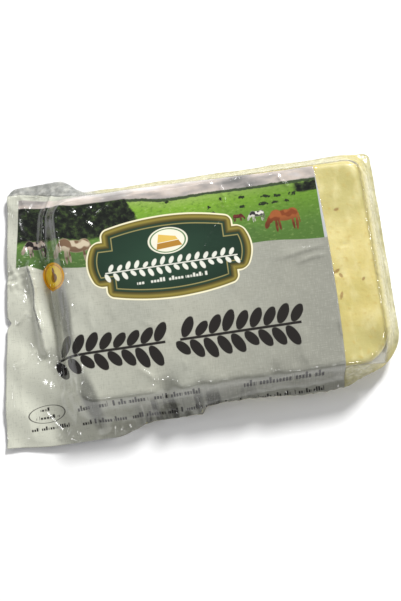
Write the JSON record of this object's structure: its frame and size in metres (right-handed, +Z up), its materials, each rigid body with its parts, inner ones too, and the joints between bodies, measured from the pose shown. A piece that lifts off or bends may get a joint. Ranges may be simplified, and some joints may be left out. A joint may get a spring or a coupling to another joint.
{
  "type": "vacuum-packed halloumi block",
  "caption": "Flat block of halloumi shrunk into a printed silver vacuum pouch with a clear window at one end, a narrow welded flange and a creased flap at the mouth.",
  "frame": {"origin": "middle of the pack's footprint, on the surface it lies on", "axes": "+X along the block from the pouch's mouth to its clear end, +Y across the pack to its rear edge, +Z up through the printed side"},
  "size_m": [0.156, 0.1014, 0.021],
  "materials": {
    "printed_film": "glossy laminate film, silver-grey print",
    "clear_film": "clear glossy film",
    "cheese": "moist pale yellow cheese"
  },
  "bodies": {
    "root": {"cheese_pouch": "printed_film"}
  },
  "joints": []
}
